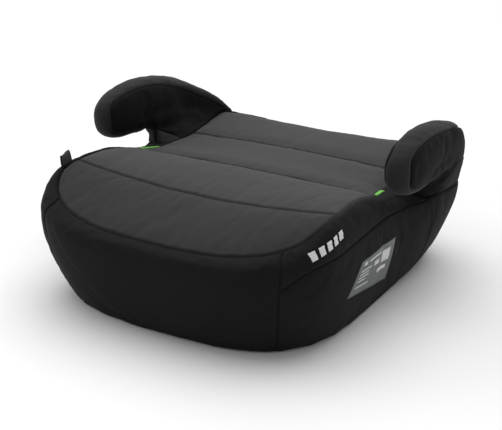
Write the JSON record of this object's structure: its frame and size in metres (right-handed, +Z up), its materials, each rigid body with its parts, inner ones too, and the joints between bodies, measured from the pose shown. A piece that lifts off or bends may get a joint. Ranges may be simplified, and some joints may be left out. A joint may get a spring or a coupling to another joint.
{
  "type": "booster seat",
  "caption": "Backless child booster seat with a fabric-covered foam seat, a dished top, two hooked armrests with belt gaps and green belt guides.",
  "frame": {"origin": "middle of the footprint at the undersides of the rubber feet", "axes": "+X towards the right armrest as seen from the front, -Y towards the front edge of the seat, +Z up"},
  "size_m": [0.4368, 0.425, 0.1999],
  "materials": {
    "cover_fabric": "matte knitted polyester, charcoal",
    "side_fabric": "matte knitted polyester, near black",
    "foam": "expanded foam",
    "frame_plastic": "moulded, fine grain",
    "guide_green": "smooth",
    "label": "satin woven label",
    "rubber": "matte",
    "screw_steel": "zinc plated"
  },
  "bodies": {
    "root": {"base_tray": "frame_plastic", "core_block": "foam", "seat_foam": "foam", "armrest_frame_right": "frame_plastic", "armrest_frame_left": "frame_plastic", "armrest_foam_right": "foam", "armrest_foam_left": "foam", "cover_front_lip": "cover_fabric", "cover_front_band": "cover_fabric", "cover_middle_band": "cover_fabric", "cover_rear_band": "cover_fabric", "cover_front_boxing": "side_fabric", "cover_rear_boxing": "side_fabric", "cover_side_upper_right": "side_fabric", "cover_side_upper_left": "side_fabric", "cover_side_lower_right": "side_fabric", "cover_side_lower_left": "side_fabric", "armrest_cover_inner_right": "side_fabric", "armrest_cover_inner_left": "side_fabric", "armrest_cover_gusset_right": "cover_fabric", "armrest_cover_gusset_left": "cover_fabric", "armrest_cover_outer_right": "side_fabric", "armrest_cover_outer_left": "side_fabric", "belt_guide_right": "guide_green", "belt_guide_left": "guide_green", "hem_band": "side_fabric", "loop_tab": "side_fabric", "care_label": "label", "rubber_foot_front_right": "rubber", "rubber_foot_front_left": "rubber", "rubber_foot_rear_right": "rubber", "rubber_foot_rear_left": "rubber", "frame_screw_front_right": "screw_steel", "frame_screw_front_left": "screw_steel", "frame_screw_rear_right": "screw_steel", "frame_screw_rear_left": "screw_steel"}
  },
  "joints": []
}
